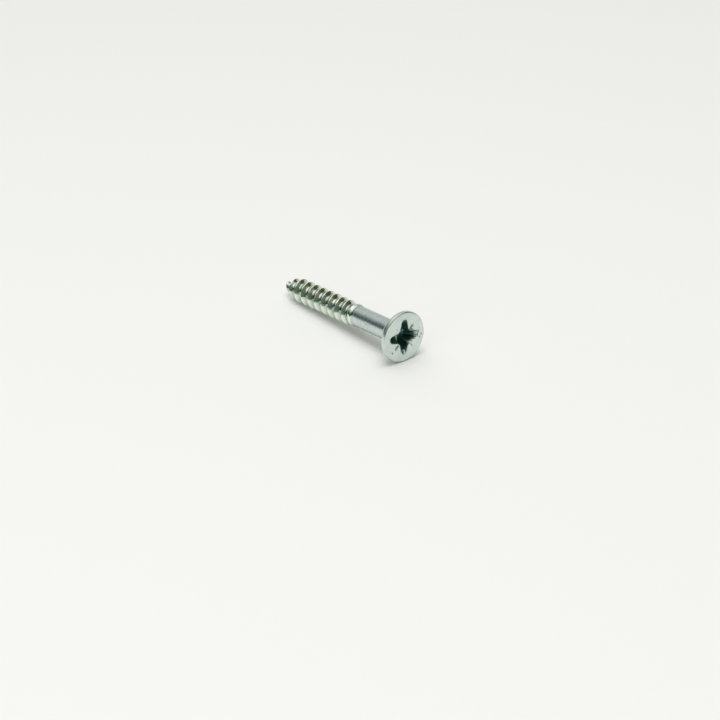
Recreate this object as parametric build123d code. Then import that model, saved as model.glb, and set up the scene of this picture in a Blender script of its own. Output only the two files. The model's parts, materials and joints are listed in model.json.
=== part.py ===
from build123d import *

import os
from math import asin, cos, degrees, pi, radians, sin, tan

# Countersunk wood screw, 3.5 x 25 mm (No. 6 x 1 in), with a type Z cross recess no. 2.
#
# The real screw is one piece of steel wire: its head is cold-formed, its recess punched and its
# thread rolled. Each node below is one of those formed features, and the nodes meet face to face.
#
# The screw is first built along its own axis. "Distance" is measured down that axis, from the
# flat face of the head (0) to the point, which is towards -X. It is then laid on its side, so
# that it rests on the rim of its head and on the last full turn of its thread. The origin is the
# centre of the head's flat face. All sizes are in millimetres.

# Driving dimensions
OVERALL_LENGTH = 25.5
HEAD_DIAMETER = 7.0
HEAD_RIM = 0.55           # height of the straight rim, with its rounded front edge
COUNTERSINK_ANGLE = 90.0
SHANK_DIAMETER = 2.9
THREAD_DIAMETER = 3.4
ROOT_DIAMETER = 2.3
PITCH = 1.5

FACE_EDGE_RADIUS = 0.19   # rounding where the flat face meets the rim
RIM_EDGE_RADIUS = 0.12    # rounding where the rim meets the cone
NECK_RADIUS = 0.4         # fillet between the cone and the shank
NECK_LAND = 0.02          # straight wire left on the head past that fillet

COLLAR_START = 9.4        # where the smooth shank ends
COLLAR_END = 10.85        # where the first groove has its full depth
COLLAR_DIAMETER = 3.12    # metal pushed up by the first roll of the thread
COLLAR_RAMP = 0.35        # length of the slope from the collar down into the first groove

CREST_PHASE = 10.2        # distance of a crest where it passes the top of the screw
CREST_WIDTH = 0.14
CREST_TAPER_START = 22.1  # distance of the last crest of full diameter
RIDGE_WIDTH = 0.95        # width of a thread ridge at its foot
RIDGE_START = 11.1        # distance of the crest where the ridge begins
RIDGE_SWELL = 0.75        # length over which the ridge then grows to its full height
RIDGE_END = 25.3          # distance of the crest where the ridge ends
RIDGE_FADE = 0.4          # length over which it sinks before that
RIDGE_LOW = 0.1           # height of the ridge at both its ends
RIDGE_SPANS = 10          # lengths that the ridge is made in, end to end
RIDGE_STEPS = 16          # steps along each of those lengths
POINT_START = 22.2        # where the core starts to taper
POINT_CURVE = 1.3         # how round the core's point is: 1 is a straight cone
CREST_CURVE = 1.7         # how round the thread's outline is over the point
CREST_TIP_RADIUS = 0.45   # radius of that outline at the tip
POINT_STEPS = 12
TIP_RADIUS = 0.06

RECESS_SPAN = 4.75        # tip to tip over two opposite wings, at the face
RECESS_FLOOR_SPAN = 2.8
RECESS_DEPTH = 1.95
CUTTER_HEIGHT = 0.2       # how far the recess cutter stands out of the face
WING_WIDTH = 1.05
WING_FLOOR_WIDTH = 0.8
WING_CORNER = 0.25
NOTCH_SPAN = 2.4          # the four small notches between the wings
NOTCH_FLOOR_SPAN = 1.5
NOTCH_WIDTH = 0.5
NOTCH_FLOOR_WIDTH = 0.4
NOTCH_CORNER = 0.15
NOTCH_DEPTH = 1.5
CENTRE_DIAMETER = 1.5     # punch point at the bottom of the recess
CENTRE_TIP_DIAMETER = 0.12
CENTRE_DEPTH = 0.35
TICK_START = 1.35         # the four short radial ticks that mark this recess type
TICK_END = 2.1
TICK_WIDTH = 0.13
TICK_DEPTH = 0.08
RECESS_TURN = -5.0        # the recess is not square to the lying screw

# Worked out from the driving dimensions
head_radius = HEAD_DIAMETER / 2
shank_radius = SHANK_DIAMETER / 2
thread_radius = THREAD_DIAMETER / 2
root_radius = ROOT_DIAMETER / 2
collar_radius = COLLAR_DIAMETER / 2
cone_end = HEAD_RIM + (head_radius - shank_radius) / tan(radians(COUNTERSINK_ANGLE / 2))
head_end = cone_end + NECK_RADIUS * tan(radians(COUNTERSINK_ANGLE / 4)) + NECK_LAND
resting_tilt = asin((head_radius - thread_radius) / (CREST_TAPER_START - FACE_EDGE_RADIUS))


def turned(*corners):
    """A sketch of half a turned section, from (distance, radius) corners."""
    return make_face(Polyline(*[(-distance, radius) for distance, radius in corners], close=True))


def near(section, distance, radius):
    """The corner of a turned section at this place."""
    return section.vertices().sort_by_distance((-distance, radius, 0))[0]


def lay_down(solid):
    """Tilt the finished piece from its own axis into the resting pose."""
    return Rot(0, -degrees(resting_tilt), 0) * solid


# Head: flat face, straight rim, 90 degree cone and a small fillet down to the shank
def head_blank():
    section = turned((0, 0), (0, head_radius), (HEAD_RIM, head_radius), (cone_end, shank_radius),
                     (head_end, shank_radius), (head_end, 0))
    section = fillet(near(section, 0, head_radius), FACE_EDGE_RADIUS)
    section = fillet(near(section, HEAD_RIM, head_radius), RIM_EDGE_RADIUS)
    section = fillet(near(section, cone_end, shank_radius), NECK_RADIUS)
    return revolve(section, Axis.X)


def tapered_slot(span, floor_span, width, floor_width, depth, turn, corner):
    """A slot through the centre, narrowing from the face down to its floor."""
    grow = 1 + CUTTER_HEIGHT / depth
    mouth_span = floor_span + (span - floor_span) * grow
    mouth_width = floor_width + (width - floor_width) * grow
    mouth = Pos(0, 0, CUTTER_HEIGHT) * Rot(0, 0, turn) * RectangleRounded(mouth_span, mouth_width, corner)
    floor = Pos(0, 0, -depth) * Rot(0, 0, turn) * RectangleRounded(floor_span, floor_width, corner)
    return loft([mouth, floor])


def recess():
    """The cross recess, looking out of the face along +Z, before it is turned onto the head."""
    cutter = tapered_slot(RECESS_SPAN, RECESS_FLOOR_SPAN, WING_WIDTH, WING_FLOOR_WIDTH,
                          RECESS_DEPTH, 0, WING_CORNER)
    cutter += tapered_slot(RECESS_SPAN, RECESS_FLOOR_SPAN, WING_WIDTH, WING_FLOOR_WIDTH,
                           RECESS_DEPTH, 90, WING_CORNER)
    for turn in (45, 135):
        cutter += tapered_slot(NOTCH_SPAN, NOTCH_FLOOR_SPAN, NOTCH_WIDTH, NOTCH_FLOOR_WIDTH,
                               NOTCH_DEPTH, turn, NOTCH_CORNER)
    cutter += Pos(0, 0, -RECESS_DEPTH - CENTRE_DEPTH / 2) * Cone(
        CENTRE_TIP_DIAMETER / 2, CENTRE_DIAMETER / 2, CENTRE_DEPTH)
    tick_length = TICK_END - TICK_START
    for turn in (45, 135, 225, 315):
        cutter += Rot(0, 0, turn) * Pos((TICK_START + TICK_END) / 2, 0, 0) * Box(
            tick_length, TICK_WIDTH, TICK_DEPTH * 2)
    return cutter


def countersunk_head():
    face = Plane(origin=(0, 0, 0), x_dir=(0, 1, 0), z_dir=(1, 0, 0))
    return head_blank() - Location(face) * Rot(0, 0, RECESS_TURN) * recess()


# Shank: the plain, unthreaded wire below the head
def plain_shank():
    return revolve(turned((head_end, 0), (head_end, shank_radius), (COLLAR_START, shank_radius),
                          (COLLAR_START, 0)), Axis.X)


# Collar: the low swollen ring where the rolled thread runs out into the shank
def runout_collar():
    ramp_start = COLLAR_END - COLLAR_RAMP
    swell = ThreePointArc((-COLLAR_START, shank_radius),
                          (-(COLLAR_START + ramp_start) / 2, collar_radius),
                          (-ramp_start, shank_radius))
    rest = Polyline((-ramp_start, shank_radius), (-COLLAR_END, root_radius), (-COLLAR_END, 0),
                    (-COLLAR_START, 0), (-COLLAR_START, shank_radius))
    return revolve(make_face(swell + rest), Axis.X)


# Core: the root cylinder that the thread ridge stands on
def thread_core():
    return revolve(turned((COLLAR_END, 0), (COLLAR_END, root_radius), (POINT_START, root_radius),
                          (POINT_START, 0)), Axis.X)


# Point: the tapered end of the core, an arc that leaves the core without a corner
def core_radius(distance):
    """Radius of the plain core or point at this distance."""
    taper = max(0, distance - POINT_START) / (OVERALL_LENGTH - POINT_START)
    return root_radius - (root_radius - TIP_RADIUS) * taper ** POINT_CURVE


def gimlet_point():
    step = (OVERALL_LENGTH - POINT_START) / POINT_STEPS
    distances = [POINT_START + step * i for i in range(POINT_STEPS + 1)]
    flank = Spline(*[(-distance, core_radius(distance)) for distance in distances])
    base = Polyline((-OVERALL_LENGTH, TIP_RADIUS), (-OVERALL_LENGTH, 0), (-POINT_START, 0),
                    (-POINT_START, root_radius))
    return revolve(make_face(flank + base), Axis.X)


# Thread: one right-hand ridge that starts behind the collar and dies away on the point
def crest_radius(distance):
    """Radius of the crest at this distance."""
    fade = max(0, distance - CREST_TAPER_START) / (OVERALL_LENGTH - CREST_TAPER_START)
    full = thread_radius - (thread_radius - CREST_TIP_RADIUS) * fade ** CREST_CURVE
    low = core_radius(distance) + RIDGE_LOW
    grown = min(1, (distance - RIDGE_START) / RIDGE_SWELL, (RIDGE_END - distance) / RIDGE_FADE)
    return low + (full - low) * grown


def ridge_section(distance):
    """Corners of the ridge's section, as (offset along the screw, radius)."""
    crest = crest_radius(distance)
    slope = (RIDGE_WIDTH - CREST_WIDTH) / 2 / (thread_radius - root_radius)
    foot = CREST_WIDTH / 2 + slope * (crest - core_radius(distance))
    return ((-foot, core_radius(distance - foot)), (-CREST_WIDTH / 2, crest),
            (CREST_WIDTH / 2, crest), (foot, core_radius(distance + foot)),
            (0, core_radius(distance)))


def ridge_lines(start, end):
    """Each corner of the ridge's section, as points along its helix."""
    lines = [[] for corner in ridge_section(start)]
    for step in range(RIDGE_STEPS + 1):
        distance = start + (end - start) * step / RIDGE_STEPS
        angle = 2 * pi * (distance - CREST_PHASE) / PITCH
        for line, (offset, radius) in zip(lines, ridge_section(distance)):
            line.append(Vector(-distance - offset, radius * sin(angle), radius * cos(angle)))
    return lines


def thread():
    """Ruled faces join the helices of neighbouring corners, and a flat face closes each end."""
    span = (RIDGE_END - RIDGE_START) / RIDGE_SPANS
    shares = [step / RIDGE_STEPS for step in range(RIDGE_STEPS + 1)]
    faces = []
    for number in range(RIDGE_SPANS):
        start = RIDGE_START + number * span
        lines = ridge_lines(start, start + span)
        helices = [Edge.make_spline(line, parameters=shares) for line in lines]
        faces += [Face.make_surface_from_curves(helices[i - 1], helices[i])
                  for i in range(len(helices))]
        if number == 0:
            faces.append(Face(Wire.make_polygon([line[0] for line in lines])))
    faces.append(Face(Wire.make_polygon([line[-1] for line in lines])))
    return Solid(Shell(Face.sew_faces(faces)[0]))


os.makedirs("parts", exist_ok=True)
for make_piece in (countersunk_head, plain_shank, runout_collar, thread_core, gimlet_point, thread):
    export_step(lay_down(make_piece()), f"parts/{make_piece.__name__}.step")
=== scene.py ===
import json
from math import atan2, copysign, cos, exp, hypot, pi, radians, sin, sqrt

import bmesh
import bpy
from mathutils import Matrix, Vector, noise


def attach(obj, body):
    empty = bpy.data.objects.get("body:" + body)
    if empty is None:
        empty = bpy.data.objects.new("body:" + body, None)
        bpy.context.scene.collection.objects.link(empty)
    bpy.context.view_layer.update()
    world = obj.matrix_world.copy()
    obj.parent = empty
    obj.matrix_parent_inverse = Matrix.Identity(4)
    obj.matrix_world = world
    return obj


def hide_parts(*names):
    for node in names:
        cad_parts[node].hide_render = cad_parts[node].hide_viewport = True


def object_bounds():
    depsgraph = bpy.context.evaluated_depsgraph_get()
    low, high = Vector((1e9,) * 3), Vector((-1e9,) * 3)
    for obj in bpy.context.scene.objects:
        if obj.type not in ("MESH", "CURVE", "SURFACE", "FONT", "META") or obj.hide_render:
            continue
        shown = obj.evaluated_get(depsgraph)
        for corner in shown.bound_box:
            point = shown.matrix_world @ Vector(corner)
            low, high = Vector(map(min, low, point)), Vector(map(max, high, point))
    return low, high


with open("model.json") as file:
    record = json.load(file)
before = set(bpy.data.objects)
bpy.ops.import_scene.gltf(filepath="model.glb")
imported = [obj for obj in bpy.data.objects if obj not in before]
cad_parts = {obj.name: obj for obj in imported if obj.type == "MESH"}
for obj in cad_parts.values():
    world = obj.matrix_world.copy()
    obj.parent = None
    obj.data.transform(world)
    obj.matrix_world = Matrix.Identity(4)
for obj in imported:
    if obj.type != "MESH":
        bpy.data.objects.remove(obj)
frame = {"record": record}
cad_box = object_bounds()

# ---- Camera ---------------------------------------------------------------------------------
# A long lens looks down at the screw from in front of its head and from one side, so that the
# head is nearest, the point is furthest away, and there is plain floor all round.
CAMERA_AZIMUTH = radians(50.68)
CAMERA_ELEVATION = radians(29.19)
CAMERA_DISTANCE = 0.2391      # from the centre of the head's face, along the view
CAMERA_ASIDE = 0.005865       # how far the camera stands to the left of that centre
CAMERA_BELOW = 0.003031       # and below it
CAMERA_LENS = 90.3            # mm
SENSOR_WIDTH = 36             # mm
CAMERA_SEES = (0.01, 10)      # nearest and furthest distance

back = Vector((sin(CAMERA_AZIMUTH) * cos(CAMERA_ELEVATION),
               -cos(CAMERA_AZIMUTH) * cos(CAMERA_ELEVATION), sin(CAMERA_ELEVATION)))
right = Vector((cos(CAMERA_AZIMUTH), sin(CAMERA_AZIMUTH), 0))
up = back.cross(right)
mounts = {mount["name"]: mount for mount in frame["record"]["mounts"]}
head_face = mounts["head_face"]

camera = bpy.data.objects.new("camera", bpy.data.cameras.new("camera"))
camera.data.lens = CAMERA_LENS
camera.data.sensor_width = SENSOR_WIDTH
camera.data.clip_start, camera.data.clip_end = CAMERA_SEES
camera.location = (Vector(head_face["pos_m"]) + back * CAMERA_DISTANCE
                   - right * CAMERA_ASIDE - up * CAMERA_BELOW)
camera.rotation_mode = "QUATERNION"
camera.rotation_quaternion = (-back).to_track_quat("-Z", "Y")
bpy.context.collection.objects.link(camera)
bpy.context.scene.camera = camera

# ---- Head -----------------------------------------------------------------------------------
# The head is upset cold from the wire: a flat face, a thin rounded rim and a 90 degree cone that
# runs into the shank. A punch sinks the cross recess, its four notches and the four ticks, and
# leaves raised, slightly torn lips. The whole screw is then bright zinc plated.
MM = 0.001
SHANK_RADIUS = mounts["shank"]["dims"]["r_mm"] * MM
HEAD_RADIUS = 3.5 * MM
RIM_HEIGHT = 0.55 * MM
FACE_EDGE = 0.19 * MM         # radius of the rounding between face and rim
RIM_EDGE = 0.10 * MM          # radius of the rounding between rim and cone
CONE_LEAN = radians(45)       # half of the 90 degree cone
NECK_FILLET = 0.4 * MM
TANGENT = sqrt(2) - 1         # where a rounding of radius 1 leaves a corner of the cone
HEAD_END = RIM_HEIGHT + HEAD_RADIUS - SHANK_RADIUS + NECK_FILLET * TANGENT
HEAD_STEPS = 384              # columns round the head
NECK_RINGS = 8
CONE_RINGS = 14
RIM_RINGS = 4
FACE_EDGE_RINGS = 8
FACE_RINGS = 44
LIP_RINGS = 4
SHOULDER_RINGS = 6
WALL_RINGS = 14
DIMPLE_RINGS = 8

RECESS_TURN = radians(-5)
RECESS_DEPTH = 1.95 * MM
SHOULDER_DEPTH = 0.38 * MM    # above this the walls lean out more
# Half sizes of the recess: reach and width of a wing, how much the wing narrows towards its end,
# and reach and width of the small notches between the wings.
MOUTH = {"span": 2.40 * MM, "width": 0.93 * MM, "taper": 0.22, "notch": 1.22 * MM,
         "notch_width": 0.26 * MM}
SHOULDER = {"span": 2.06 * MM, "width": 0.84 * MM, "taper": 0.20, "notch": 1.12 * MM,
            "notch_width": 0.24 * MM}
BOTTOM = {"span": 1.40 * MM, "width": 0.58 * MM, "taper": 0.12, "notch": 0.80 * MM,
          "notch_width": 0.20 * MM}
WING_SQUARENESS = 9           # how sharp the corners of a wing and of a notch are
NOTCH_SQUARENESS = 5
LIP = 0.07 * MM               # radius of the rounding between face and recess
DIMPLE_RADIUS = 0.04 * MM     # the bottom runs down to a small dimple
DIMPLE_DEPTH = 0.3 * MM


def slot_edge(angle, half_span, half_width, taper, squareness):
    """Distance from the centre to the edge of a round-cornered slot, in this direction."""
    along = (abs(cos(angle)) / half_span) ** squareness
    across = ((abs(sin(angle)) + taper * abs(cos(angle))) / half_width) ** squareness
    return (along + across) ** (-1 / squareness)


def recess_edge(angle, sizes, grow=0.0):
    """Distance from the centre to the wall of the cross recess, in this direction."""
    turned = angle - RECESS_TURN
    reach = 0
    for quarter in (0, pi / 2):
        wing = slot_edge(turned + quarter, sizes["span"] + grow, sizes["width"] + grow,
                         sizes["taper"], WING_SQUARENESS)
        notch = slot_edge(turned + quarter + pi / 4, sizes["notch"] + grow,
                          sizes["notch_width"] + grow, 0, NOTCH_SQUARENESS)
        reach = max(reach, wing, notch)
    return reach


def blend(first, last, share):
    """The value this share of the way from the first to the last."""
    return first + (last - first) * share


def next_ring(bm, ring, shape):
    """Extrudes the open ring of edges, and gives each new vertex its radius and its height."""
    made = bmesh.ops.extrude_edge_only(bm, edges=ring)["geom"]
    for vertex in (g for g in made if isinstance(g, bmesh.types.BMVert)):
        angle = atan2(vertex.co.y, vertex.co.x)
        radius, height = shape(angle)
        vertex.co = (radius * cos(angle), radius * sin(angle), height)
    return [g for g in made if isinstance(g, bmesh.types.BMEdge) and g.is_boundary]


def close_ring(bm, ring):
    """Closes an open ring of edges with a flat face."""
    bmesh.ops.contextual_create(bm, geom=ring)


# Pieces are shaped upright, with the head's face on top, and this lays them in their resting place.
side_up = Matrix(((0, 0, 1), (1, 0, 0), (0, 1, 0)))
lean = Vector((1, 0, 0)).rotation_difference(Vector(head_face["axis"])).to_matrix()
to_rest = (lean @ side_up).to_4x4()


def finish_piece(bm, name, material, slot, *nodes):
    """Lays the shaped piece in place, and makes it the visible stand-in for its CAD nodes."""
    bmesh.ops.recalc_face_normals(bm, faces=bm.faces)
    bm.transform(to_rest)
    mesh = bpy.data.meshes.new(name)
    bm.to_mesh(mesh)
    bm.free()
    for polygon in mesh.polygons:
        polygon.use_smooth = True
    mesh.materials.append(material)
    piece = bpy.data.objects.new(name, mesh)
    bpy.context.collection.objects.link(piece)
    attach(piece, "root")
    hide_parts(*nodes)
    return piece


FACE_FLAT_EDGE = 0.25         # marks fade out over this outer share of the face
FACE_WAVES = ((0.9, 0.006), (3.1, 0.002))     # slow unevenness: waves to a mm, and height in mm
TICK_DEPTHS = (0.26 * MM, 0.04 * MM, 0.20 * MM, 0.10 * MM)    # the punch is worn unevenly
TICK_START, TICK_END = 1.3 * MM, 2.1 * MM
TICK_HALF_WIDTH = 0.105 * MM
BURR_HEIGHT = 0.07 * MM       # torn metal on the lips of the recess
BURR_WIDTH = 0.08 * MM
BURRS_PER_MM = 3.7
BURR_PATTERN = Vector((0, 0, 4))
BURR_SHARE = 0.15             # the lip is torn where the noise is above minus this
# Short scratches from driver bits, in mm: place across and up the face, heading in degrees, half
# length and depth
SCRATCHES = ((1.36, 0.72, -34, 0.28, 0.20), (1.81, -0.64, 50, 0.14, 0.14), (1.23, -0.86, 20, 0.16, 0.16),
             (-2.1, -1.67, 80, 0.10, 0.12), (2.95, -0.39, 70, 0.12, 0.08), (0.66, -1.1, 52, 0.25, 0.16),
             (2.42, 0.10, 72, 0.25, 0.12), (2.62, -0.75, 25, 0.10, 0.08))
SCRATCH_HALF_WIDTH = 0.085    # mm


def furrow(along, half_length, across, half_width):
    """1 in the middle of a short groove, falling smoothly to 0 at its sides and ends."""
    return exp(-(across / half_width) ** 2) * exp(-(along / half_length) ** 4)


def face_height(angle, radius):
    """Height of the face: slow unevenness, four ticks between the wings, scratches and burrs."""
    place = Vector((radius * cos(angle), radius * sin(angle), 0)) / MM
    height = sum(noise.noise(place * per_mm) * high for per_mm, high in FACE_WAVES) * MM
    turned = (angle - RECESS_TURN) % (2 * pi)
    height -= TICK_DEPTHS[int(turned // (pi / 2)) % 4] * furrow(
        radius - (TICK_START + TICK_END) / 2, (TICK_END - TICK_START) / 2,
        radius * sin(turned % (pi / 2) - pi / 4), TICK_HALF_WIDTH)
    for across, upward, heading, half_length, deep in SCRATCHES:
        offset = place - Vector((across, upward, 0))
        ahead = Vector((cos(radians(heading)), sin(radians(heading)), 0))
        height -= deep * MM * furrow(offset.dot(ahead), half_length, offset.cross(ahead).z,
                                     SCRATCH_HALF_WIDTH)
    from_lip = (radius - recess_edge(angle, MOUTH, LIP)) / BURR_WIDTH
    torn = max(0, BURR_SHARE + noise.noise(place * BURRS_PER_MM + BURR_PATTERN))
    return height + BURR_HEIGHT * torn * exp(-from_lip ** 2)


def new_material(name):
    """A new node material, with its nodes and links."""
    material = bpy.data.materials.new(name)
    material.use_nodes = True
    return material, material.node_tree.nodes, material.node_tree.links


MIX_FIRST, MIX_SECOND, MIX_RESULT = 6, 7, 2   # the colour sockets of a mix node


def mixed(nodes, links, share, first, second):
    """A mix of two colours. The second may be a plain colour."""
    mix = nodes.new("ShaderNodeMix")
    mix.data_type = "RGBA"
    links.new(share, mix.inputs["Factor"])
    links.new(first, mix.inputs[MIX_FIRST])
    if isinstance(second, tuple):
        mix.inputs[MIX_SECOND].default_value = (*second, 1)
    else:
        links.new(second, mix.inputs[MIX_SECOND])
    return mix.outputs[MIX_RESULT]


EDGE_TINT = (0.72, 0.75, 0.74, 1)             # zinc is duller than a mirror even at a grazing angle
# Patterns in the plating: clouds to a metre, how many finer layers they have, and a seed
MOTTLE = (900, 3, 1)
SHEEN = (2600, 4, 5)
WAVES = (700, 2, 9)
GRAIN = (9000, 5, 13)
MOTTLE_RANGE = (0.36, 0.64)   # the part of the noise's range that is used
SHEEN_RANGE = (0.3, 0.7)
WAVE_HEIGHT = 0.1 * MM
GRAIN_HEIGHT = 0.02 * MM


def zinc(name, colours, roughness, graininess, waviness, painted_light=None):
    """Bright zinc plate: mottled colour, uneven gloss, a fine grain and slow waves in the metal.
    The mesh attribute of the same name as the last argument mixes in that argument's colour where it is
    1: this paints shade down in the head's recess, and paints the thread's flanks lighter than its shaded
    roots."""
    material, nodes, links = new_material(name)
    shader = nodes["Principled BSDF"]
    shader.inputs["Metallic"].default_value = 1
    shader.inputs["Specular Tint"].default_value = EDGE_TINT
    coords = nodes.new("ShaderNodeTexCoord")

    def clouds(scale, detail, seed):
        texture = nodes.new("ShaderNodeTexNoise")
        texture.noise_dimensions = "4D"
        texture.inputs["W"].default_value = seed
        texture.inputs["Scale"].default_value = scale
        texture.inputs["Detail"].default_value = detail
        links.new(coords.outputs["Object"], texture.inputs["Vector"])
        return texture.outputs["Fac"]

    mottle = nodes.new("ShaderNodeValToRGB")
    for element, place, colour in zip(mottle.color_ramp.elements, MOTTLE_RANGE, colours):
        element.position = place
        element.color = (*colour, 1)
    links.new(clouds(*MOTTLE), mottle.inputs["Fac"])
    colour = mottle.outputs["Color"]
    # Painted shade and painted light: the second colour, where the mesh attribute is 1
    if painted_light:
        amount = nodes.new("ShaderNodeAttribute")
        amount.attribute_name = "painted_light"
        colour = mixed(nodes, links, amount.outputs["Fac"], colour, painted_light)
    links.new(colour, shader.inputs["Base Color"])

    gloss = nodes.new("ShaderNodeMapRange")
    for socket, value in zip(("From Min", "From Max", "To Min", "To Max"), SHEEN_RANGE + roughness):
        gloss.inputs[socket].default_value = value
    links.new(clouds(*SHEEN), gloss.inputs["Value"])
    links.new(gloss.outputs["Result"], shader.inputs["Roughness"])

    waves = nodes.new("ShaderNodeBump")
    waves.inputs["Distance"].default_value = WAVE_HEIGHT
    waves.inputs["Strength"].default_value = waviness
    links.new(clouds(*WAVES), waves.inputs["Height"])
    grain = nodes.new("ShaderNodeBump")
    grain.inputs["Distance"].default_value = GRAIN_HEIGHT
    grain.inputs["Strength"].default_value = graininess
    links.new(clouds(*GRAIN), grain.inputs["Height"])
    links.new(waves.outputs["Normal"], grain.inputs["Normal"])
    links.new(grain.outputs["Normal"], shader.inputs["Normal"])
    return material


# Painted shade: down in the recess, and in the ticks and scratches, the colour turns with depth to the
# dark teal given last below.
head_zinc = zinc("zinc_head", colours=((0.61, 0.70, 0.70), (0.70, 0.76, 0.70)),
                 roughness=(0.26, 0.40), graininess=0.35, waviness=0.25, painted_light=(0.20, 0.33, 0.30))
PAINTED_SHADE_DEPTH = 0.25 * MM        # the painted shade grows with depth at about this rate
PAINTED_SHADE_MARGIN = 0.1 * MM        # and leaves the edge of the face alone

bm = bmesh.new()
bmesh.ops.create_circle(bm, segments=HEAD_STEPS, radius=SHANK_RADIUS)
for vertex in bm.verts:
    vertex.co.z = -HEAD_END
ring = bm.edges[:]
close_ring(bm, ring)
for step in range(1, NECK_RINGS + 1):
    bend = CONE_LEAN * step / NECK_RINGS
    ring = next_ring(bm, ring, lambda angle: (SHANK_RADIUS + NECK_FILLET * (1 - cos(bend)),
                                              -HEAD_END + NECK_FILLET * sin(bend)))
cone_bottom = SHANK_RADIUS + NECK_FILLET * (1 - cos(CONE_LEAN))
cone_top = HEAD_RADIUS - RIM_EDGE * (1 - cos(CONE_LEAN))
for step in range(1, CONE_RINGS + 1):
    radius = blend(cone_bottom, cone_top, step / CONE_RINGS)
    ring = next_ring(bm, ring, lambda angle: (radius, radius - HEAD_RADIUS - RIM_HEIGHT))
for step in range(1, RIM_RINGS + 1):
    bend = CONE_LEAN * (1 - step / RIM_RINGS)
    ring = next_ring(bm, ring, lambda angle: (HEAD_RADIUS - RIM_EDGE * (1 - cos(bend)),
                                              -RIM_HEIGHT - RIM_EDGE * (sin(bend) - TANGENT)))
for step in range(FACE_EDGE_RINGS + 1):
    bend = pi / 2 * step / FACE_EDGE_RINGS
    ring = next_ring(bm, ring, lambda angle: (HEAD_RADIUS - FACE_EDGE * (1 - cos(bend)),
                                              -FACE_EDGE * (1 - sin(bend))))
face_radius = HEAD_RADIUS - FACE_EDGE
face_start = len(bm.verts)
for step in range(1, FACE_RINGS + 1):
    share = step / FACE_RINGS

    def face_ring(angle):
        radius = blend(face_radius, recess_edge(angle, MOUTH, LIP), share)
        return radius, face_height(angle, radius) * min(1, share / FACE_FLAT_EDGE)
    ring = next_ring(bm, ring, face_ring)
for step in range(1, LIP_RINGS + 1):
    bend = pi / 2 * step / LIP_RINGS
    share = step / LIP_RINGS

    def lip_ring(angle):
        at_face = face_height(angle, recess_edge(angle, MOUTH, LIP))
        height = blend(at_face, 0, share) - LIP * (1 - cos(bend))
        return recess_edge(angle, MOUTH, LIP * (1 - sin(bend))), height
    ring = next_ring(bm, ring, lip_ring)
for rings, above, below, top, bottom in ((SHOULDER_RINGS, MOUTH, SHOULDER, LIP, SHOULDER_DEPTH),
                                         (WALL_RINGS, SHOULDER, BOTTOM, SHOULDER_DEPTH, RECESS_DEPTH)):
    for step in range(1, rings + 1):
        share = step / rings
        sizes = {key: blend(above[key], below[key], share) for key in MOUTH}
        ring = next_ring(bm, ring, lambda angle: (recess_edge(angle, sizes), -blend(top, bottom, share)))
for step in range(1, DIMPLE_RINGS + 1):
    share = step / DIMPLE_RINGS
    ring = next_ring(bm, ring, lambda angle: (blend(recess_edge(angle, BOTTOM), DIMPLE_RADIUS, share),
                                              -RECESS_DEPTH - DIMPLE_DEPTH * share))
close_ring(bm, ring)
# Painted shade: the colour darkens with depth in the recess, the ticks and the scratches
painted_light_share = bm.verts.layers.float.new("painted_light")
bm.verts.index_update()
for vertex in bm.verts:
    from_axis = hypot(vertex.co.x, vertex.co.y)
    if vertex.index >= face_start and from_axis < face_radius - PAINTED_SHADE_MARGIN:
        vertex[painted_light_share] = 1 - exp(min(0, vertex.co.z) / PAINTED_SHADE_DEPTH)
finish_piece(bm, "screw_head", head_zinc, "zinc_head", "countersunk_head")

# ---- Shank ----------------------------------------------------------------------------------
# The plain wire between the head and the thread. It is as it left the drawing die, round and
# smooth, and bright plated like the rest. The plating has one small pit, on the side.
COLLAR_START = 9.4 * MM
SHANK_STEPS = 192
SHANK_RINGS = 160
PIT_DISTANCE = 6.3 * MM       # from the head's face
PIT_ANGLE = radians(-74)      # from the top of the screw
PIT_RADIUS = 0.11 * MM
PIT_DEPTH = 0.06 * MM

shank_zinc = zinc("zinc_shank", colours=((0.58, 0.66, 0.66), (0.66, 0.71, 0.67)),
                  roughness=(0.24, 0.34), graininess=0.14, waviness=0.18)

bm = bmesh.new()
bmesh.ops.create_circle(bm, segments=SHANK_STEPS, radius=SHANK_RADIUS)
for vertex in bm.verts:
    vertex.co.z = -HEAD_END
ring = bm.edges[:]
close_ring(bm, ring)
for step in range(1, SHANK_RINGS + 1):
    height = -blend(HEAD_END, COLLAR_START, step / SHANK_RINGS)

    def shank_ring(angle):
        from_top = pi / 2 - angle
        from_pit = hypot((from_top - PIT_ANGLE) * SHANK_RADIUS, height + PIT_DISTANCE)
        return SHANK_RADIUS - PIT_DEPTH * exp(-(from_pit / PIT_RADIUS) ** 2), height
    ring = next_ring(bm, ring, shank_ring)
close_ring(bm, ring)
finish_piece(bm, "plain_wire_shank", shank_zinc, "zinc_shank", "plain_shank")

# ---- Run-out collar -------------------------------------------------------------------------
# Flat dies roll the thread into the wire, and they bite less and less towards the head. There
# the groove fades out along its helix, and the metal it pushed aside stands up as a low ring.
PITCH = 1.5 * MM
ROOT_RADIUS = 1.15 * MM
CREST_RADIUS = 1.7 * MM
CREST_PHASE = 10.2 * MM       # distance of a crest where it passes the top of the screw
CREST_HALF_WIDTH = 0.03 * MM
FOOT_HALF_WIDTH = 0.44 * MM
FOOT_ROUNDING = 0.3           # of the flank's height
CREST_ROUNDING = 0.08
COLLAR_MIDDLE = 10.05 * MM
COLLAR_HALF_WIDTH = 0.32 * MM
COLLAR_SWELL = 0.10 * MM
THREAD_START = 10.85 * MM
GROOVE_GROWS = (10.1 * MM, 11.3 * MM)         # it reaches its full depth between these distances
CREST_GROWS = (9.8 * MM, 11.2 * MM)
HAMMERING_GROWS = (9.6 * MM, 11.0 * MM)
LENGTH = 25.5 * MM
POINT_START = 22.2 * MM
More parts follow.
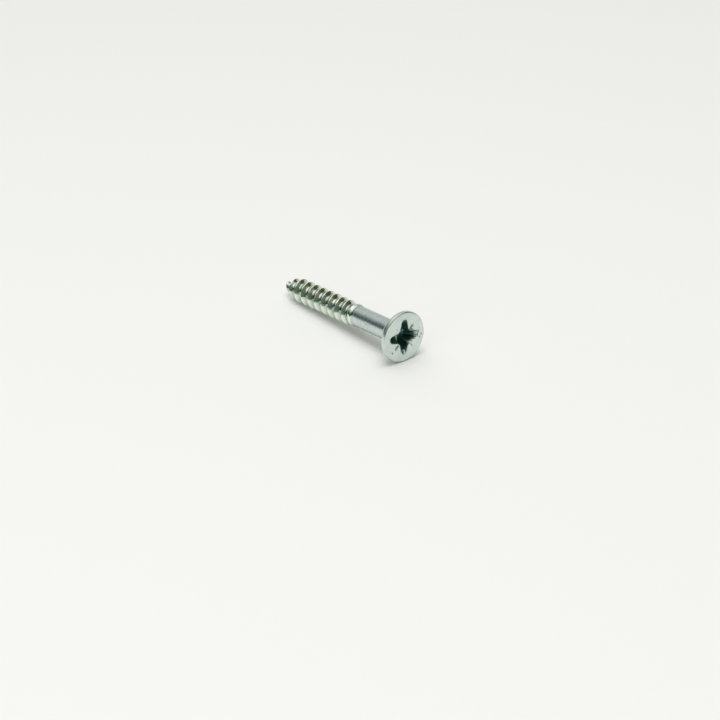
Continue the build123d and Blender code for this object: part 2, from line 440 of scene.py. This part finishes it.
CORE_TAPER = 1.3              # 1 is a straight cone, and more is a rounder one
TIP_RADIUS = 0.05 * MM
CREST_TAPER_START = 22.1 * MM
CREST_TAPER = 1.7
CREST_TIP_RADIUS = 0.45 * MM
CREST_STOPS = (LENGTH, LENGTH - 0.5 * MM)
HAMMERING_STOPS = (LENGTH, LENGTH - 0.6 * MM)
HAMMERING = ((3.0, 0.012), (7.5, 0.009))      # dents left by the dies: dents to a mm, and depth in mm
COLUMNS = 36                  # columns across one pitch
CROWDING = 1.5                # 1 spaces them evenly, and more crowds them together at the crest
STEPS_PER_TURN = 160
LINE_RADIUS = 1 * MM          # of the bare tube that the profile is pressed into
MERGE_DISTANCE = PITCH / COLUMNS / 20
TURNS_BEFORE = 2              # turns rolled ahead of the start, and then cut off
NEAR_CUT = 0.01 * MM
FLANK_PAINTED_LIGHT = 1.3              # the flanks' painted light is full before the crest


def ease(limits, value):
    """Goes smoothly from 0 at the first limit to 1 at the second."""
    share = min(1, max(0, (value - limits[0]) / (limits[1] - limits[0])))
    return share * share * (3 - 2 * share)


def rounded_slope(value, low_rounding, high_rounding):
    """0 below 0 and 1 above 1, straight between, with both corners rounded."""
    if value > 0.5:
        return 1 - rounded_slope(1 - value, high_rounding, low_rounding)
    if value < -low_rounding:
        return 0
    if value < low_rounding:
        return (value + low_rounding) ** 2 / (4 * low_rounding)
    return value


def root_at(distance):
    """Radius at the bottom of the groove."""
    taper = max(0, distance - POINT_START) / (LENGTH - POINT_START)
    core = blend(ROOT_RADIUS, TIP_RADIUS, taper ** CORE_TAPER)
    return blend(SHANK_RADIUS, core, ease(GROOVE_GROWS, distance))


def crest_at(distance):
    """Radius of the crest."""
    taper = max(0, distance - CREST_TAPER_START) / (LENGTH - CREST_TAPER_START)
    crest = blend(CREST_RADIUS, CREST_TIP_RADIUS, taper ** CREST_TAPER)
    crest = blend(root_at(distance), crest, ease(CREST_STOPS, distance))
    return blend(SHANK_RADIUS, crest, ease(CREST_GROWS, distance))


def rolled_radius(distance, angle):
    """Radius of the rolled surface, and its share of the lighter colour: painted light on the flanks and
    crests, while the roots keep the dark colour as painted shade. It fades out along the point.
    """
    turns = (distance - CREST_PHASE) / PITCH - angle / (2 * pi)
    from_crest = abs(turns - round(turns)) * PITCH
    rise = (FOOT_HALF_WIDTH - from_crest) / (FOOT_HALF_WIDTH - CREST_HALF_WIDTH)
    profile = rounded_slope(rise, FOOT_ROUNDING, CREST_ROUNDING)
    root = root_at(distance)
    place = Vector((distance, sin(angle) * root, cos(angle) * root)) / MM
    dents = sum(noise.noise(place * per_mm) * deep for per_mm, deep in HAMMERING) * MM
    dents *= ease(HAMMERING_GROWS, distance) * ease(HAMMERING_STOPS, distance)
    swell = COLLAR_SWELL * exp(-((distance - COLLAR_MIDDLE) / COLLAR_HALF_WIDTH) ** 4)
    painted_light_share = min(1, FLANK_PAINTED_LIGHT * profile) * ease((LENGTH, POINT_START), distance)
    return blend(root, crest_at(distance), profile) + swell + dents, painted_light_share


def rolled_length(start, end):
    """A closed length of the rolled wire. A line one pitch long is screwed through one turn, the
    turns are laid end to end and cut to length, and the profile moves each vertex in or out."""
    bm = bmesh.new()
    groove = int((start - CREST_PHASE) / PITCH) - 0.5         # the line runs from groove to groove
    first = CREST_PHASE + PITCH * (groove - TURNS_BEFORE)
    turns = int((end - first) / PITCH) + 1
    line = [bm.verts.new((0, LINE_RADIUS, -first)), bm.verts.new((0, LINE_RADIUS, -first - PITCH))]
    edge = bm.edges.new(line)
    bmesh.ops.subdivide_edges(bm, edges=[edge], cuts=COLUMNS - 1)
    for vertex in bm.verts:
        from_middle = (-vertex.co.z - first) / (PITCH / 2) - 1
        crowded = copysign(abs(from_middle) ** CROWDING, from_middle)
        vertex.co.z = -first - PITCH / 2 * (1 + crowded)
    bmesh.ops.spin(bm, geom=bm.verts[:] + bm.edges[:], cent=(0, 0, 0), axis=(0, 0, -1),
                   dvec=(0, 0, -PITCH / STEPS_PER_TURN), angle=2 * pi, steps=STEPS_PER_TURN)
    one_turn = bm.verts[:] + bm.edges[:] + bm.faces[:]
    for number in range(1, turns):
        copy = bmesh.ops.duplicate(bm, geom=one_turn)["geom"]
        bmesh.ops.translate(bm, verts=[g for g in copy if isinstance(g, bmesh.types.BMVert)],
                            vec=(0, 0, -PITCH * number))
    for cut, side in ((start, 1), (end, -1)):
        bmesh.ops.bisect_plane(bm, geom=bm.verts[:] + bm.edges[:] + bm.faces[:],
                               plane_co=(0, 0, -cut), plane_no=(0, 0, side), clear_outer=True)
    bmesh.ops.remove_doubles(bm, verts=bm.verts, dist=MERGE_DISTANCE)
    # Painted light and shade: the flanks and crests get the lighter colour, the roots the dark one
    painted_light_share = bm.verts.layers.float.new("painted_light")
    for vertex in bm.verts:
        angle = atan2(vertex.co.x, vertex.co.y)
        radius, vertex[painted_light_share] = rolled_radius(-vertex.co.z, angle)
        vertex.co.x = radius * sin(angle)
        vertex.co.y = radius * cos(angle)
    close_ring(bm, [e for e in bm.edges if e.is_boundary and e.verts[0].co.z > -start - NEAR_CUT])
    close_ring(bm, [e for e in bm.edges if e.is_boundary])
    return bm


# The first two colours are dark, painted shade in the roots; the last, lighter one is painted on the
# flanks and crests.
thread_zinc = zinc("zinc_thread", colours=((0.30, 0.40, 0.37), (0.55, 0.61, 0.54)),
                   roughness=(0.10, 0.24), graininess=0.4, waviness=0.9, painted_light=(0.83, 0.88, 0.77))
finish_piece(rolled_length(COLLAR_START, THREAD_START), "thread_runout_collar", thread_zinc,
             "zinc_shank", "runout_collar")

# ---- Thread ---------------------------------------------------------------------------------
# The working length: seven and a half turns of a single right-hand ridge. It is rolled from the
# same wire between flat dies, so its crests stand out past the shank and its roots lie below it.
finish_piece(rolled_length(THREAD_START, POINT_START), "rolled_thread", thread_zinc, "zinc_thread",
             "thread_core", "thread")

# ---- Point ----------------------------------------------------------------------------------
# The gimlet point, which starts the screw in the wood. The core tapers to a small tip, and the
# last two turns of the thread shrink along it. It is rolled and plated with the rest.
finish_piece(rolled_length(POINT_START, LENGTH), "gimlet_tip", thread_zinc, "zinc_thread",
             "gimlet_point")

# ---- Floor ----------------------------------------------------------------------------------
# A plain pale sweep of paper. It is level with the lowest point of the screw, which lies on the
# rim of its head and on its thread.
FLOOR_SIZE = 4
FLOOR_COLOUR = (0.875, 0.87, 0.86, 1)
FLOOR_ROUGHNESS = 0.9
FLOOR_SHINE = 0.1
floor_mesh = bpy.data.meshes.new("floor")
bm = bmesh.new()
bmesh.ops.create_grid(bm, x_segments=1, y_segments=1, size=FLOOR_SIZE / 2)
bmesh.ops.translate(bm, verts=bm.verts, vec=(0, 0, cad_box[0].z))
bm.to_mesh(floor_mesh)
bm.free()
floor = bpy.data.objects.new("floor", floor_mesh)
bpy.context.collection.objects.link(floor)
material, nodes, links = new_material("pale_floor")
nodes["Principled BSDF"].inputs["Base Color"].default_value = FLOOR_COLOUR
nodes["Principled BSDF"].inputs["Roughness"].default_value = FLOOR_ROUGHNESS
nodes["Principled BSDF"].inputs["Specular IOR Level"].default_value = FLOOR_SHINE
floor_mesh.materials.append(material)

# ---- Light ----------------------------------------------------------------------------------
# A large soft lamp hangs over the screw, and a weaker one fills in from the front. The bright
# plating mirrors the room round them: a pale floor and ceiling, a pale backdrop on one side, and
# dark olive, green and teal walls on the others.
LAMP_COLOUR = (1.0, 1.0, 0.99)
GLINT_COLOUR = (1.0, 1.0, 0.985)
SCREW_MIDDLE = (-0.01, 0, 0)


def round_lamp(name, place, size, power, colour):
    """A soft round lamp that points at the middle of the screw."""
    lamp = bpy.data.lights.new(name, "AREA")
    lamp.shape = "DISK"
    lamp.size = size
    lamp.energy = power
    lamp.color = colour
    light = bpy.data.objects.new(name, lamp)
    light.location = place
    light.rotation_mode = "QUATERNION"
    light.rotation_quaternion = (Vector(SCREW_MIDDLE) - Vector(place)).to_track_quat("-Z", "Y")
    bpy.context.collection.objects.link(light)
    return light


key = round_lamp("soft_key", (0.03, -0.06, 0.60), size=0.42, power=1.10, colour=LAMP_COLOUR)
fill = round_lamp("soft_fill", (0.12, -0.35, 0.22), size=0.3, power=0.27, colour=LAMP_COLOUR)
for light in (key, fill):
    light.visible_glossy = False              # only the glint and the room show in the metal
round_lamp("key_glint", (0.03, -0.06, 0.59), size=0.24, power=0.08, colour=GLINT_COLOUR)

world = bpy.data.worlds.new("studio")
bpy.context.scene.world = world
world.use_nodes = True
nodes, links = world.node_tree.nodes, world.node_tree.links
direction = nodes.new("ShaderNodeTexCoord")
split = nodes.new("ShaderNodeSeparateXYZ")
links.new(direction.outputs["Generated"], split.inputs["Vector"])


def height_ramp(stops):
    """Colour of the surroundings by the height of the direction, from the floor up."""
    ramp = nodes.new("ShaderNodeValToRGB")
    links.new(split.outputs["Z"], ramp.inputs["Fac"])
    for element, (place, colour) in zip(ramp.color_ramp.elements, (stops[0], stops[-1])):
        element.position = place
        element.color = (*colour, 1)
    for place, colour in stops[1:-1]:
        ramp.color_ramp.elements.new(place).color = (*colour, 1)
    return ramp.outputs["Color"]


def smooth_share(value, limits):
    """Rises smoothly from 0 at the first limit to 1 at the second."""
    share = nodes.new("ShaderNodeMapRange")
    share.interpolation_type = "SMOOTHSTEP"
    share.inputs["From Min"].default_value = limits[0]
    share.inputs["From Max"].default_value = limits[1]
    links.new(value, share.inputs["Value"])
    return share.outputs["Result"]


# How bright the room is at each height, and where one side turns into the next
FLOOR_GLOW = (0.88, 0.88, 0.87)
CEILING = (1.35, 1.35, 1.32)
sweep_side = height_ramp(((0.0, FLOOR_GLOW), (0.35, (0.66, 0.68, 0.66)),
                          (0.74, (0.60, 0.62, 0.61)), (0.87, CEILING), (1.0, CEILING)))
teal_side = height_ramp(((0.0, FLOOR_GLOW), (0.04, (0.74, 0.77, 0.77)), (0.12, (0.02, 0.045, 0.06)),
                         (0.45, (0.04, 0.065, 0.075)), (0.66, (0.50, 0.53, 0.52)), (0.87, CEILING),
                         (1.0, CEILING)))
olive_side = height_ramp(((0.0, FLOOR_GLOW), (0.01, (0.16, 0.15, 0.09)), (0.04, (0.07, 0.065, 0.025)),
                          (0.70, (0.08, 0.078, 0.03)), (0.80, (0.42, 0.43, 0.38)), (0.87, CEILING),
                          (1.0, CEILING)))
green_side = height_ramp(((0.0, FLOOR_GLOW), (0.02, (0.20, 0.23, 0.18)), (0.06, (0.11, 0.16, 0.11)),
                          (0.60, (0.12, 0.16, 0.11)), (0.78, (0.42, 0.44, 0.40)), (0.87, CEILING),
                          (1.0, CEILING)))
TOWARDS_SWEEP = (-sqrt(0.5), sqrt(0.5), 0)
SWEEP_EDGE = (0.50, 0.544)
GREEN_TO_OLIVE = (-0.35, 0.25)
LEFT_TO_RIGHT = (-0.4, 0.2)
from_sweep = nodes.new("ShaderNodeVectorMath")
from_sweep.operation = "DOT_PRODUCT"
from_sweep.inputs[1].default_value = TOWARDS_SWEEP
links.new(direction.outputs["Generated"], from_sweep.inputs[0])
right_side = mixed(nodes, links, smooth_share(split.outputs["Y"], GREEN_TO_OLIVE), green_side, olive_side)
room = mixed(nodes, links, smooth_share(split.outputs["X"], LEFT_TO_RIGHT), teal_side, right_side)
room = mixed(nodes, links, smooth_share(from_sweep.outputs["Value"], SWEEP_EDGE), room, sweep_side)
links.new(room, nodes["Background"].inputs["Color"])

bpy.context.scene.view_settings.view_transform = "Standard"
bpy.context.scene.view_settings.look = "None"
